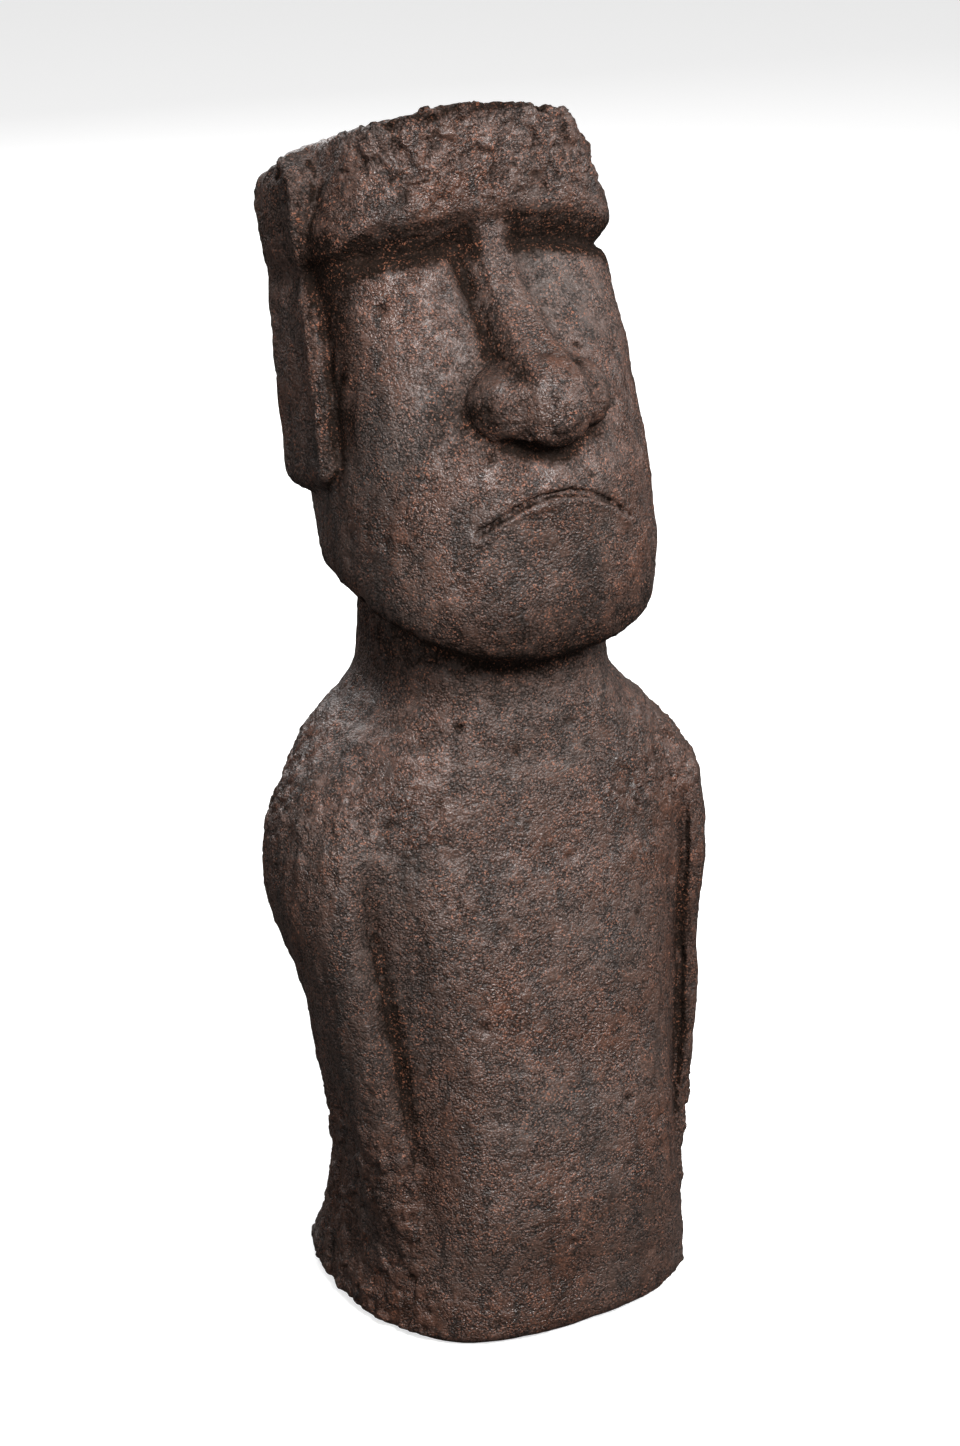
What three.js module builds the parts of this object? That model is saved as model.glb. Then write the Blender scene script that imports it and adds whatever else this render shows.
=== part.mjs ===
// Moai stone head statue: a cast figure made in one piece, as a single closed body.
// Millimetres, +Z up, the face looks along -Y, the statue's own right arm is on -X.
// The underside lies on z = 0 with its centre at the origin.

import * as THREE from 'three';
import { mergeVertices } from 'three/addons/utils/BufferGeometryUtils.js';

// ---------------------------------------------------------------- driving dimensions

// Heights of the body levels above the ground.
const LEVEL = {
  foot: 0, rim: 6, hem: 30, waist: 64, hip: 100, belly: 141, chest: 180,
  shoulder: 220, collar: 250, slope: 275, yoke: 292, nape: 306, throat: 320, neck: 335,
};

// Centre line of the body: how far it leans back (+Y) at each level.
const BODY_LEAN = {
  foot: 0, hem: -5, waist: -9, hip: -5, belly: 2, chest: 8, shoulder: 14, collar: 17, yoke: 16, neck: 15,
};
// Half width of the trunk, and its reach to the front and to the back of the centre line.
const BODY_HALF_WIDTH = {
  foot: 86, rim: 89, hem: 86.5, waist: 85, hip: 86, belly: 90, chest: 93, shoulder: 97, collar: 97,
  slope: 91, yoke: 81, nape: 66, throat: 58.5, neck: 57,
};
const BODY_FRONT = {
  foot: 81, rim: 84, hem: 80, waist: 77, hip: 76, belly: 75, chest: 74, shoulder: 72, collar: 67,
  slope: 62, yoke: 58, nape: 56, throat: 52, neck: 51,
};
const BODY_BACK = {
  foot: 83, rim: 86, hem: 78, waist: 72, hip: 76, belly: 80, chest: 81, shoulder: 79, collar: 74,
  slope: 68, yoke: 61, nape: 57, throat: 53, neck: 52,
};
const BODY_SQUARENESS = 2.6;
const NECK_TOP = 390;

// Arms: flat-backed lofts laid against the flanks, fading out above the base.
const ARM_OUTSIDE = {
  hem: 76, waist: 89, hip: 95.5, belly: 102.5, chest: 108, shoulder: 115, collar: 112, slope: 99, yoke: 82,
};
const ARM_CENTRE = {
  hem: -30, waist: -31, hip: -30, belly: -22, chest: -8, shoulder: 6, collar: 10, slope: 12, yoke: 14,
};
const ARM_HALF_DEPTH = {
  hem: 16, waist: 19, hip: 23, belly: 31, chest: 39, shoulder: 43, collar: 41, slope: 33, yoke: 22,
};
const ARM_HALF_THICKNESS = 28;
const ARM_SQUARENESS = 2.4;
const ARM_LOW_END = 35;
const ARM_BLEND = 8;
const LEFT_ARM_INSET = { depth: 8, z: 150, height: 85 };

// Groove between arm and belly: where it runs, how deep it is cut and how wide.
const GROOVE_SIDE = { waist: 74, hip: 77, belly: 82, chest: 86, shoulder: 90, collar: 92 };
const GROOVE_FRONT = { waist: -64, hip: -61, belly: -54, chest: -46, shoulder: -40, collar: -36 };
const GROOVE_DEPTH = { hem: 0, waist: 3, hip: 9, belly: 15, chest: 15, shoulder: 8, collar: 0 };
const GROOVE_WIDTH = 8;
const GROOVE_SOFT_WIDTH = 20;
const GROOVE_SOFT_SHARE = 0.35;

// Head frame: a leaning axis; "up" runs along it and "out" points away from it to the front.
const HEAD_FOOT_Y = 8;
const HEAD_FOOT_Z = 338;
const HEAD_LEAN = THREE.MathUtils.degToRad(14);
const HEAD_HEIGHT = 243.5;
const HEAD_AXIS_OUT = 10;
const HEAD_BACK = 72;
const CROWN_TILT = 0.1;
const CROWN_ROUND = 0.0016;
const CROWN_SLOPE = 0.055;
const CROWN_EDGE = 4;

// Head levels along the axis.
const FACE = {
  under: -15, chin: 0, jaw: 20, lip: 50, mouth: 66, philtrum: 85, nostril: 110, cheek: 140,
  temple: 165, eye: 180, brow: 198, ridge: 205, forehead: 225, crown: 243,
};
const CHEEK_HALF_WIDTH = {
  under: 66, chin: 72, jaw: 76.5, lip: 78, nostril: 76, cheek: 74.5, temple: 73, eye: 72.5,
};
const CHEEK_OUT = {
  under: 58, chin: 68, jaw: 74.5, lip: 79, mouth: 80, philtrum: 77, nostril: 70, cheek: 60,
  temple: 51, eye: 47,
};
const CHEEK_SQUARENESS = { mouth: 2.35, nostril: 2.5, cheek: 2.8, eye: 3.1 };
const BROW_HALF_WIDTH = { temple: 76, eye: 77, brow: 75, ridge: 71.5, forehead: 64.5, crown: 58 };
const BROW_OUT = { temple: 50, brow: 54, forehead: 58, crown: 60.5 };
const CORE_HALF_WIDTH = { chin: 70, eye: 70, crown: 58 };
const SKULL_HALF_WIDTH = { chin: 66, jaw: 69, cheek: 70.5, eye: 70, crown: 58 };
const CORE_OUT = 37;
const BROW_SQUARENESS = 3;

// Jaw underside: height at the chin, its rise towards the nape and its lift at the two sides.
const JAW_HEIGHT = 339;
const JAW_FRONT = -44;
const JAW_RISE = 0.18;
const JAW_LIFT = { right: 0.0031, left: 0.0012 };
const JAW_ROUND = 12;
const JAW_BACK_ROUND = 16;

// Upper edge of the cheeks and lower edge of the brow; both bow down to the sides.
const CHEEK_TOP = 178;
const CHEEK_BOW = { right: 0.0004, left: 0.003 };
const BROW_EDGE = 198;
const BROW_BOW = { right: 0.0006, left: 0.0031 };
const BROW_END_DROP = 11;
const BROW_END = [58, 79];
const BROW_UNDERCUT = 1.45;

// Muzzle swelling and the down-turned mouth line.
const MUZZLE_SWELL = 5.5;
const MUZZLE_HALF_WIDTH = 30;
const MUZZLE_HALF_HEIGHT = 20;
const MOUTH_HALF_WIDTH = 43;
const MOUTH_MIDDLE = 65.5;
const MOUTH_SLOPE = 0.045;
const MOUTH_DROOP = 0.00925;
const MOUTH_DEPTH = 3;
const LIP_HEIGHT = 1;

// Nose: a wedge that flares from its ridge, a ball tip, two wings and the nostrils under them.
const NOSE_OUT = { philtrum: 86, nostril: 93.5, cheek: 73, temple: 54, eye: 48.5, ridge: 46 };
const NOSE_HALF_WIDTH = { philtrum: 13, nostril: 12.5, cheek: 9.2, temple: 7.8, eye: 10, ridge: 14 };
const NOSE_FLARE = 0.42;
const NOSE_ROOT = 20;
const NOSE_TOP = 204;
const NOSE_UNDER = 92;
const NOSE_TIP = { up: 106, out: 79, radius: [17, 19.5, 20] };
const NOSE_WING = { side: 20, up: 107.5, out: 69.5, radius: [15.8, 18, 17.5] };
const NOSTRIL = { side: 19, up: 90, out: 84, width: 6, depth: 3.2 };
const NOSE_GROOVE = { nostril: 0, cheek: 3, temple: 7, eye: 7, brow: 0 };
const NOSE_GROOVE_WIDTH = 5.5;
const NOSE_GROOVE_LEFT_SHARE = 0.3;

// Ears: long slabs on the sides with a raised front rim.
const EAR = { lobe: 74, sole: 79, drop: 88, shell: 150, pinch: 165, hood: 215, top: 233 };
const EAR_FRONT = { lobe: 0, sole: 9, drop: 17, shell: 15.5, pinch: 13, hood: 15, top: -6 };
const EAR_REAR = { lobe: -14, sole: -23, drop: -29, shell: -31, hood: -33, top: -18 };
const EAR_OUTSIDE = { lobe: 82, drop: 83, pinch: 80, hood: 79, top: 77 };
const EAR_EDGE = 5;
const EAR_RIM = 2.6;
const EAR_RIM_INSET = 5;
const EAR_DISH = 1.4;
const EAR_PINCH = { up: 176, width: 9, depth: 5, sink: 1.5 };
const EAR_TOP_SLOPE = { front: 0.5, rear: 0.25, side: 0.35 };
const EAR_LOBE_SLOPE = 0.6;

// Mesh: rings along a bent spine, and vertices around each ring, closer together at the face.
const SPINE_Y = { foot: 0, waist: -8, belly: 3, shoulder: 12, nape: 13, 360: 15 };
const SPINE_TILT = { nape: 0, 338: -10, 350: -10, 402: 14, 556: 14, 568: 19.7 };
const SPINE_TOP = 566.8;
const SPINE_ROLL = { 500: 0, 556: CROWN_SLOPE };
const SPINE_BOW = { nape: 0, 338: 1, 350: 1, 402: 0 };
const JAW_BOW = { right: 0.2, left: 0.08 };
const RINGS = [
  { to: 8, steps: 3 }, { to: 290, steps: 17 }, { to: 344, steps: 5 }, { to: 350, steps: 4 },
  { to: 402, steps: 7 }, { to: 456, steps: 9 }, { to: 490, steps: 4 }, { to: 524, steps: 8 },
  { to: 556, steps: 4 }, { to: SPINE_TOP, steps: 4 },
];
const AROUND = 74;
const FRONT_CROWDING = 0.34;
const SEARCH_RADIUS = 135;
const SEARCH_STEP = 3;

// ---------------------------------------------------------------- profile helpers

// Turns named sizes into sorted stations [position, value]; a numeric name is its own position.
function profile(sizes, levels) {
  return Object.entries(sizes)
    .map(([name, value]) => [name in levels ? levels[name] : Number(name), value])
    .sort((a, b) => a[0] - b[0]);
}

// Smooth curve through the stations without overshoot, constant beyond both ends.
function curveThrough(sizes, levels) {
  const stations = profile(sizes, levels);
  const last = stations.length - 1;
  const rise = [];
  for (let i = 0; i < last; i += 1) {
    rise.push((stations[i + 1][1] - stations[i][1]) / (stations[i + 1][0] - stations[i][0]));
  }
  const slope = stations.map((_, i) => {
    if (i === 0) return rise[0];
    if (i === last) return rise[last - 1];
    const product = rise[i - 1] * rise[i];
    return product <= 0 ? 0 : (2 * product) / (rise[i - 1] + rise[i]);
  });
  return (x) => {
    if (x <= stations[0][0]) return stations[0][1];
    if (x >= stations[last][0]) return stations[last][1];
    let i = 0;
    while (x > stations[i + 1][0]) i += 1;
    const span = stations[i + 1][0] - stations[i][0];
    const t = (x - stations[i][0]) / span;
    const t2 = t * t;
    const t3 = t2 * t;
    return (2 * t3 - 3 * t2 + 1) * stations[i][1] + (t3 - 2 * t2 + t) * span * slope[i]
      + (3 * t2 - 2 * t3) * stations[i + 1][1] + (t3 - t2) * span * slope[i + 1];
  };
}

function softMin(a, b, blend) {
  const h = Math.max(blend - Math.abs(a - b), 0) / blend;
  return Math.min(a, b) - h * h * blend * 0.25;
}

function softMax(a, b, blend) {
  return -softMin(-a, -b, blend);
}

function bell(distance, width) {
  return Math.exp(-((distance / width) ** 2));
}

// Signed distance, nearly, from a rounded-square section with its own front and back reach.
function section(side, out, halfWidth, front, back, squareness) {
  const reach = out > 0 ? front : back;
  const a = Math.abs(side) / halfWidth;
  const b = Math.abs(out) / reach;
  const q = Math.max((a ** squareness + b ** squareness) ** (1 / squareness), 1e-6);
  const gx = (a / q) ** (squareness - 1) / halfWidth;
  const gy = (b / q) ** (squareness - 1) / reach;
  return (q - 1) / Math.max(Math.hypot(gx, gy), 1e-4);
}

function ball(side, out, up, centre, radius) {
  const x = (side - centre[0]) / radius[0];
  const y = (out - centre[1]) / radius[1];
  const z = (up - centre[2]) / radius[2];
  const k0 = Math.hypot(x, y, z);
  const k1 = Math.hypot(x / radius[0], y / radius[1], z / radius[2]);
  return (k0 * (k0 - 1)) / Math.max(k1, 1e-6);
}

// ---------------------------------------------------------------- body

const body = {
  lean: curveThrough(BODY_LEAN, LEVEL),
  halfWidth: curveThrough(BODY_HALF_WIDTH, LEVEL),
  front: curveThrough(BODY_FRONT, LEVEL),
  back: curveThrough(BODY_BACK, LEVEL),
};
const arm = {
  outside: curveThrough(ARM_OUTSIDE, LEVEL),
  centre: curveThrough(ARM_CENTRE, LEVEL),
  halfDepth: curveThrough(ARM_HALF_DEPTH, LEVEL),
};
const groove = {
  side: curveThrough(GROOVE_SIDE, LEVEL),
  front: curveThrough(GROOVE_FRONT, LEVEL),
  depth: curveThrough(GROOVE_DEPTH, LEVEL),
};

function bodyDistance(x, y, z) {
  const side = Math.abs(x);
  let s = section(x, body.lean(z) - y, body.halfWidth(z), body.front(z), body.back(z), BODY_SQUARENESS);
  const depth = arm.halfDepth(z);
  const inset = x > 0 ? LEFT_ARM_INSET.depth * bell(z - LEFT_ARM_INSET.z, LEFT_ARM_INSET.height) : 0;
  const armSide = side - (arm.outside(z) - inset - ARM_HALF_THICKNESS);
  let a = section(armSide, arm.centre(z) - y, ARM_HALF_THICKNESS, depth, depth, ARM_SQUARENESS);
  a = softMax(softMax(a, ARM_LOW_END - z, 6), z - LEVEL.yoke, 10);
  s = softMin(s, a, ARM_BLEND);
  const away = Math.hypot(side - groove.side(z), y - groove.front(z));
  s += groove.depth(z) * bell(away, GROOVE_WIDTH);
  if (side < groove.side(z)) s += GROOVE_SOFT_SHARE * groove.depth(z) * bell(away - 4, GROOVE_SOFT_WIDTH);
  return softMax(softMax(s, -z, 4), z - NECK_TOP, 2);
}

// ---------------------------------------------------------------- head

const cheekHalfWidth = curveThrough(CHEEK_HALF_WIDTH, FACE);
const cheekOut = curveThrough(CHEEK_OUT, FACE);
const cheekSquareness = curveThrough(CHEEK_SQUARENESS, FACE);
const browHalfWidth = curveThrough(BROW_HALF_WIDTH, FACE);
const browOut = curveThrough(BROW_OUT, FACE);
const coreHalfWidth = curveThrough(CORE_HALF_WIDTH, FACE);
const skullHalfWidth = curveThrough(SKULL_HALF_WIDTH, FACE);
const noseOut = curveThrough(NOSE_OUT, FACE);
const noseHalfWidth = curveThrough(NOSE_HALF_WIDTH, FACE);
const noseGroove = curveThrough(NOSE_GROOVE, FACE);
const earFront = curveThrough(EAR_FRONT, EAR);
const earRear = curveThrough(EAR_REAR, EAR);
const earOutside = curveThrough(EAR_OUTSIDE, EAR);

function noseDistance(side, out, up) {
  const front = noseOut(up);
  const beside = Math.abs(side);
  const flank = (beside - noseHalfWidth(up) - NOSE_FLARE * Math.max(front - out, 0)) * 0.92;
  let bridge = softMax(flank, out - front, 2);
  bridge = softMax(softMax(bridge, up - NOSE_TOP, 3), NOSE_ROOT - out, 2);
  bridge = softMax(bridge, NOSE_UNDER - up - 0.25 * (out - 86), 6);
  const tip = ball(side, out, up, [0, NOSE_TIP.out, NOSE_TIP.up], NOSE_TIP.radius);
  const wing = ball(beside, out, up, [NOSE_WING.side, NOSE_WING.out, NOSE_WING.up], NOSE_WING.radius);
  const hole = bell(Math.hypot(beside - NOSTRIL.side, up - NOSTRIL.up), NOSTRIL.width);
  return softMin(softMin(bridge, tip, 9), wing, 8) + NOSTRIL.depth * hole * bell(out - NOSTRIL.out, 12);
}

function earDistance(side, out, up) {
  const beside = Math.abs(side);
  const pinch = bell(up - EAR_PINCH.up, EAR_PINCH.width);
  const front = earFront(up) - EAR_PINCH.depth * pinch;
  const crest = up - EAR.top + EAR_TOP_SLOPE.rear * Math.max(-out - 4, 0)
    + EAR_TOP_SLOPE.front * Math.max(out, 0) + EAR_TOP_SLOPE.side * Math.max(beside - 68, 0);
  const sole = EAR.lobe + 1 - up + EAR_LOBE_SLOPE * Math.max(beside - 74, 0);
  const outline = Math.max(out - front, earRear(up) - out, Math.max(sole, crest) * 0.9);
  const along = THREE.MathUtils.clamp((up - EAR.lobe - 2) / 10, 0, 1);
  const rim = EAR_RIM * bell(out - front + EAR_RIM_INSET, 3.2) * along * (1 - pinch);
  const dish = EAR_DISH * bell(out - front + 15, 7) + EAR_PINCH.sink * pinch;
  const slab = softMax(outline, beside - earOutside(up) - rim + dish, EAR_EDGE);
  return softMax(slab, 40 - beside, 2);
}

function mouthLine(side, out, up) {
  if (out < 40 || Math.abs(side) > MOUTH_HALF_WIDTH) return 0;
  const above = up - (MOUTH_MIDDLE - MOUTH_SLOPE * side - MOUTH_DROOP * side * side);
  const fade = THREE.MathUtils.clamp((MOUTH_HALF_WIDTH - Math.abs(side)) / 4, 0, 1);
  return fade * (MOUTH_DEPTH * bell(above, 2.6) - LIP_HEIGHT * bell(above + 4, 2.4));
}

// How far the brow's lower edge falls towards its two ends.
function browDrop(side) {
  if (side > 0) return BROW_BOW.left * side * side;
  return BROW_BOW.right * side * side + BROW_END_DROP * THREE.MathUtils.smoothstep(-side, ...BROW_END);
}

function headDistance(x, y, z) {
  const dy = y - HEAD_FOOT_Y;
  const dz = z - HEAD_FOOT_Z;
  const out = dz * Math.sin(HEAD_LEAN) - dy * Math.cos(HEAD_LEAN);
  const up = dy * Math.sin(HEAD_LEAN) + dz * Math.cos(HEAD_LEAN);
  const fore = out - HEAD_AXIS_OUT;
  const hand = x > 0 ? 'left' : 'right';
  const under = JAW_HEIGHT + JAW_LIFT[hand] * x * x + JAW_RISE * (y - JAW_FRONT) - z;

  let cheek = section(
    x, fore, cheekHalfWidth(up), cheekOut(up) - HEAD_AXIS_OUT, HEAD_BACK, cheekSquareness(up),
  );
  if (out > 0) {
    cheek -= MUZZLE_SWELL * bell(x, MUZZLE_HALF_WIDTH) * bell(up - MOUTH_MIDDLE, MUZZLE_HALF_HEIGHT);
    const beside = Math.abs(x) - 11.5 - 0.12 * Math.max(up - 125, 0);
    const share = x > 0 ? NOSE_GROOVE_LEFT_SHARE : 1;
    cheek += share * noseGroove(up) * bell(beside, NOSE_GROOVE_WIDTH);
  }
  cheek = softMax(cheek, (up + CHEEK_BOW[hand] * x * x - CHEEK_TOP) * 0.9 + (out - 48) * 0.25, 3);
  cheek = softMax(cheek, under, JAW_ROUND);

  let core = section(x, fore, coreHalfWidth(up), CORE_OUT - HEAD_AXIS_OUT, HEAD_BACK - 2, 2.6);
  core = softMax(softMax(core, up - HEAD_HEIGHT + 5, 2), under, JAW_ROUND);

  let brow = section(x, fore, browHalfWidth(up), browOut(up) - HEAD_AXIS_OUT, HEAD_BACK, BROW_SQUARENESS);
  const edge = BROW_EDGE - up - browDrop(x);
  brow = softMax(brow, (edge + BROW_UNDERCUT * Math.min(brow, 10)) / Math.hypot(1, BROW_UNDERCUT), 2);

  let skull = section(x, out + 12, skullHalfWidth(up), 34, 54, 2.4);
  skull = softMax(skull, under, JAW_BACK_ROUND);

  let s = softMin(softMin(softMin(cheek, core, 2), brow, 2), skull, 4);
  const crown = (up - HEAD_HEIGHT) * Math.cos(CROWN_TILT) - (out - 60) * Math.sin(CROWN_TILT);
  s = softMax(s, crown + CROWN_ROUND * x * x + CROWN_SLOPE * x, CROWN_EDGE);
  s = softMin(s, noseDistance(x, out, up), 2.5);
  s = softMin(s, earDistance(x, out, up), 2.5);
  return s + mouthLine(x, out, up);
}

function statueDistance(x, y, z) {
  return softMin(bodyDistance(x, y, z), headDistance(x, y, z), 3);
}

// ---------------------------------------------------------------- skin

const lowSpineY = curveThrough(SPINE_Y, LEVEL);
const spineTilt = curveThrough(SPINE_TILT, LEVEL);
const spineRoll = curveThrough(SPINE_ROLL, LEVEL);
const spineBow = curveThrough(SPINE_BOW, LEVEL);

// The spine follows the body and then the leaning axis of the head.
function spineY(z) {
  const headAxisY = HEAD_FOOT_Y + (z - HEAD_FOOT_Z) * Math.tan(HEAD_LEAN);
  return softMax(lowSpineY(z), headAxisY, 12);
}

function ringHeights() {
  const heights = [0];
  let from = 0;
  for (const { to, steps } of RINGS) {
    for (let i = 1; i <= steps; i += 1) heights.push(from + ((to - from) * i) / steps);
    from = to;
  }
  return heights;
}

// Outermost crossing of the surface on a ray from the spine, by steps and then by halving.
function reachAlong(origin, direction) {
  const at = (r) => statueDistance(
    origin.x + direction.x * r, origin.y + direction.y * r, origin.z + direction.z * r,
  );
  let outside = SEARCH_RADIUS;
  while (outside > SEARCH_STEP && at(outside - SEARCH_STEP) > 0) outside -= SEARCH_STEP;
  let inside = outside - SEARCH_STEP;
  for (let i = 0; i < 12; i += 1) {
    const middle = (inside + outside) / 2;
    if (at(middle) > 0) outside = middle;
    else inside = middle;
  }
  return inside;
}

function buildStatue() {
  const heights = ringHeights();
  const rows = heights.length - 1;
  const tube = new THREE.CylinderGeometry(1, 1, 1, AROUND, rows, false);
  tube.deleteAttribute('normal');
  tube.deleteAttribute('uv');
  const geometry = mergeVertices(tube, 1e-4);
  const points = geometry.getAttribute('position');
  for (let i = 0; i < points.count; i += 1) {
    const share = Math.min(1, Math.hypot(points.getX(i), points.getZ(i)));
    const z = heights[Math.round((points.getY(i) + 0.5) * rows)];
    const tilt = THREE.MathUtils.degToRad(spineTilt(z));
    const origin = new THREE.Vector3(0, spineY(z), z);
    if (share < 0.5 && z > 0) {
      // Middle of the crown, a little above the last ring.
      const up = new THREE.Vector3(0, Math.sin(tilt), Math.cos(tilt));
      origin.addScaledVector(up, reachAlong(origin, up));
    }
    if (share > 0.5) {
      // The turn is measured from the front; crowding pulls the vertices towards the face.
      const turn = Math.atan2(points.getX(i), points.getZ(i));
      const angle = turn - FRONT_CROWDING * Math.sin(turn);
      const forward = Math.cos(angle);
      const sideways = Math.sin(angle);
      const bow = spineBow(z) * JAW_BOW[sideways > 0 ? 'left' : 'right'] * Math.abs(sideways);
      const direction = new THREE.Vector3(
        sideways, -forward * Math.cos(tilt), forward * Math.sin(tilt) + bow - spineRoll(z) * sideways,
      );
      origin.addScaledVector(direction, reachAlong(origin, direction));
    }
    points.setXYZ(i, origin.x, origin.y, Math.max(origin.z, 0));
  }
  geometry.computeVertexNormals();
  return geometry;
}

const castStone = new THREE.MeshStandardMaterial({ color: 0x4a3a34, roughness: 0.62, metalness: 0 });
castStone.name = 'cast_stone';

const figure = new THREE.Mesh(buildStatue(), castStone);
figure.name = 'moai_figure';

const group = new THREE.Group();
group.name = 'moai_statue';
group.add(figure);

export default group;
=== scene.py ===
"""Moai statue: looks of a one-piece cast figure with a dark waxed coat over terracotta."""

import math

import bmesh
import bpy
import numpy as np
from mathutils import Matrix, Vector


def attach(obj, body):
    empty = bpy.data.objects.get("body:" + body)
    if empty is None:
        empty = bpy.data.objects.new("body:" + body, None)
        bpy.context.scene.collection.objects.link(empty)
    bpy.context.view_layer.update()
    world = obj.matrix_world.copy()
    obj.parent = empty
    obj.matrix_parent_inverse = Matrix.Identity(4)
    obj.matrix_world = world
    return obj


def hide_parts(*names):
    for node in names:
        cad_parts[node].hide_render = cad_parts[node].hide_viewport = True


bl_info = {
    "name": "Moai Statue",
    "version": (1, 0, 0),
    "blender": (4, 5, 0),
    "location": "3D View > Sidebar > Moai",
    "description": "Builds the carved surface, the coat and the studio of a moai statue",
    "category": "Object",
}

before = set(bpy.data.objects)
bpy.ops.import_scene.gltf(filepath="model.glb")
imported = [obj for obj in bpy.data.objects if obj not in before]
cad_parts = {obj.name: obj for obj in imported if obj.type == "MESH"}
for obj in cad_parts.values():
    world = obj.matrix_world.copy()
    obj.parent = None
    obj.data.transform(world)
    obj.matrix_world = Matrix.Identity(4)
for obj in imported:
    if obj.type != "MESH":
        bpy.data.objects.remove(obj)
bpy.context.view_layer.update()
MM = 0.001

# ------------------------------------------------------------------ sizes in millimetres

LEVEL = dict(
    foot=0, rim=6, hem=30, waist=64, hip=100, belly=141, chest=180, shoulder=220, collar=250,
    slope=275, yoke=292, nape=306, throat=320, neck=335,
)
BODY_LEAN = dict(
    foot=0, hem=-5, waist=-9, hip=-5, belly=2, chest=8, shoulder=14, collar=17, yoke=16, neck=15,
)
BODY_HALF_WIDTH = dict(
    foot=86, rim=89, hem=86.5, waist=85, hip=86, belly=90, chest=93, shoulder=97, collar=97,
    slope=91, yoke=81, nape=66, throat=58.5, neck=57,
)
BODY_FRONT = dict(
    foot=81, rim=84, hem=80, waist=77, hip=76, belly=75, chest=74, shoulder=72, collar=67,
    slope=62, yoke=58, nape=56, throat=52, neck=51,
)
BODY_BACK = dict(
    foot=83, rim=86, hem=78, waist=72, hip=76, belly=80, chest=81, shoulder=79, collar=74,
    slope=68, yoke=61, nape=57, throat=53, neck=52,
)
BODY_SQUARENESS = 2.6
NECK_TOP = 390

ARM_OUTSIDE = dict(
    hem=76, waist=89, hip=95.5, belly=102.5, chest=108, shoulder=115, collar=112, slope=99, yoke=82,
)
ARM_CENTRE = dict(
    hem=-30, waist=-31, hip=-30, belly=-22, chest=-8, shoulder=6, collar=10, slope=12, yoke=14,
)
ARM_HALF_DEPTH = dict(
    hem=16, waist=19, hip=23, belly=31, chest=39, shoulder=43, collar=41, slope=33, yoke=22,
)
ARM_HALF_THICKNESS = 28
ARM_SQUARENESS = 2.4
ARM_LOW_END = 35
ARM_BLEND = 8
LEFT_ARM_INSET = dict(depth=8, z=150, height=85)

GROOVE_SIDE = dict(waist=74, hip=77, belly=82, chest=86, shoulder=90, collar=92)
GROOVE_FRONT = dict(waist=-64, hip=-61, belly=-54, chest=-46, shoulder=-40, collar=-36)
GROOVE_DEPTH = dict(hem=0, waist=3, hip=9, belly=15, chest=15, shoulder=8, collar=0)
GROOVE_WIDTH = 8
GROOVE_SOFT_WIDTH = 20
GROOVE_SOFT_SHARE = 0.35
GROOVE_SLIT = dict(inset=3, width=3.2, share=0.5)

HEAD_FOOT_Y = 8
HEAD_FOOT_Z = 338
HEAD_LEAN = math.radians(14)
HEAD_HEIGHT = 243.5
HEAD_AXIS_OUT = 10
HEAD_BACK = 72
CROWN_TILT = 0.1
CROWN_ROUND = 0.0016
CROWN_SLOPE = 0.055
CROWN_EDGE = 4

FACE = dict(
    under=-15, chin=0, jaw=20, lip=50, mouth=66, philtrum=85, nostril=110, cheek=140,
    temple=165, eye=180, brow=198, ridge=205, forehead=225, crown=243,
)
CHEEK_HALF_WIDTH = dict(
    under=66, chin=72, jaw=76.5, lip=78, nostril=76, cheek=74.5, temple=73, eye=72.5,
)
CHEEK_OUT = dict(
    under=58, chin=68, jaw=74.5, lip=79, mouth=80, philtrum=77, nostril=70, cheek=60, temple=51,
    eye=47,
)
CHEEK_SQUARENESS = dict(mouth=2.35, nostril=2.5, cheek=2.8, eye=3.1)
BROW_HALF_WIDTH = dict(temple=76, eye=77, brow=75, ridge=71.5, forehead=64.5, crown=58)
BROW_OUT = dict(temple=50, brow=54, forehead=58, crown=60.5)
BROW_SQUARENESS = 3
CORE_HALF_WIDTH = dict(chin=70, eye=70, crown=58)
CORE_OUT = 37
SKULL_HALF_WIDTH = dict(chin=66, jaw=69, cheek=70.5, eye=70, crown=58)
SKULL = dict(behind=12, front=34, back=54, squareness=2.4)

JAW_HEIGHT = 339
JAW_FRONT = -44
JAW_RISE = 0.18
JAW_LIFT = dict(right=0.0031, left=0.0012)
JAW_ROUND = 12
JAW_BACK_ROUND = 16

CHEEK_TOP = 178
CHEEK_BOW = dict(right=0.0004, left=0.0030)
BROW_EDGE = 198
BROW_BOW = dict(right=0.0006, left=0.0031)
BROW_END_DROP = 11
BROW_END = (58, 79)
BROW_UNDERCUT = 1.45

MUZZLE = dict(swell=5.5, half_width=30, half_height=20)
MOUTH_HALF_WIDTH = 43
MOUTH_MIDDLE = 65.5
MOUTH_SLOPE = 0.045
MOUTH_DROOP = 0.00925
MOUTH_DEPTH = 3.2
LIP_HEIGHT = 1.1

NOSE_OUT = dict(philtrum=86, nostril=93.5, cheek=73, temple=54, eye=48.5, ridge=46)
NOSE_HALF_WIDTH = dict(philtrum=13, nostril=12.5, cheek=9.2, temple=7.8, eye=10, ridge=14)
NOSE_FLARE = 0.42
NOSE_ROOT = 20
NOSE_TOP = 204
NOSE_UNDER = 92
NOSE_TIP = dict(centre=(0, 79, 106), radius=(17, 19.5, 20))
NOSE_WING = dict(centre=(20, 69.5, 107.5), radius=(15.8, 18, 17.5))
NOSTRIL = dict(side=19, up=90, out=84, width=6, right=1.2, left=3.2)
NOSE_GROOVE = dict(nostril=0, cheek=3, temple=7, eye=7, brow=0)
NOSE_GROOVE_WIDTH = 5.5
NOSE_GROOVE_LEFT_SHARE = 0.3

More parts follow.
